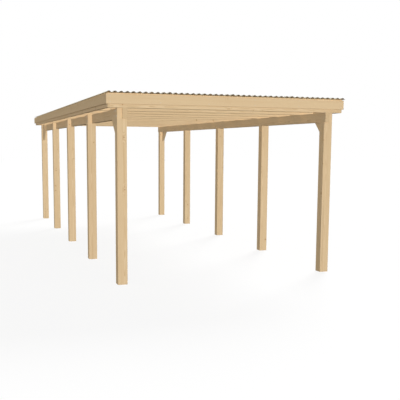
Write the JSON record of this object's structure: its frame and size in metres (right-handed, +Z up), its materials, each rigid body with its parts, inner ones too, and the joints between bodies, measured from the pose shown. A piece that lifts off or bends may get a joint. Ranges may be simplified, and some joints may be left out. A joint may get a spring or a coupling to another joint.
{
  "type": "carport",
  "caption": "Free-standing flat-roofed timber carport: square posts, long beams let into them, cross rafters, double rim boards, corner gussets and corrugated roof sheets.",
  "frame": {"origin": "on the ground, at the middle of the roof's outline", "axes": "+Z up, front toward -Y, +X to the right when seen from the front"},
  "size_m": [3.238, 8.01, 2.3543],
  "materials": {
    "frame_wood": "planed and untreated",
    "fascia_wood": "planed and untreated",
    "roof_sheet": "smooth, pale beige glass-fibre polyester",
    "gutter": "smooth moulded"
  },
  "bodies": {
    "root": {"beam_left": "frame_wood", "beam_right": "frame_wood", "fascia_front": "fascia_wood", "fascia_left": "fascia_wood", "fascia_rear": "fascia_wood", "fascia_right": "fascia_wood", "gusset_front_left": "frame_wood", "gusset_front_right": "frame_wood", "gusset_rear_left": "frame_wood", "gusset_rear_right": "frame_wood", "gutter_ledger": "frame_wood", "gutter_liner": "gutter", "post_left_1": "frame_wood", "post_left_2": "frame_wood", "post_left_3": "frame_wood", "post_left_4": "frame_wood", "post_left_5": "frame_wood", "post_right_1": "frame_wood", "post_right_2": "frame_wood", "post_right_3": "frame_wood", "post_right_4": "frame_wood", "post_right_5": "frame_wood", "rafter_01": "frame_wood", "rafter_02": "frame_wood", "rafter_03": "frame_wood", "rafter_04": "frame_wood", "rafter_05": "frame_wood", "rafter_06": "frame_wood", "rafter_07": "frame_wood", "rafter_08": "frame_wood", "rafter_09": "frame_wood", "rafter_10": "frame_wood", "rafter_11": "frame_wood", "rafter_12": "frame_wood", "rim_left": "frame_wood", "rim_right": "frame_wood", "roof_sheet_1": "roof_sheet", "roof_sheet_2": "roof_sheet", "roof_sheet_3": "roof_sheet", "roof_sheet_4": "roof_sheet"}
  },
  "joints": []
}
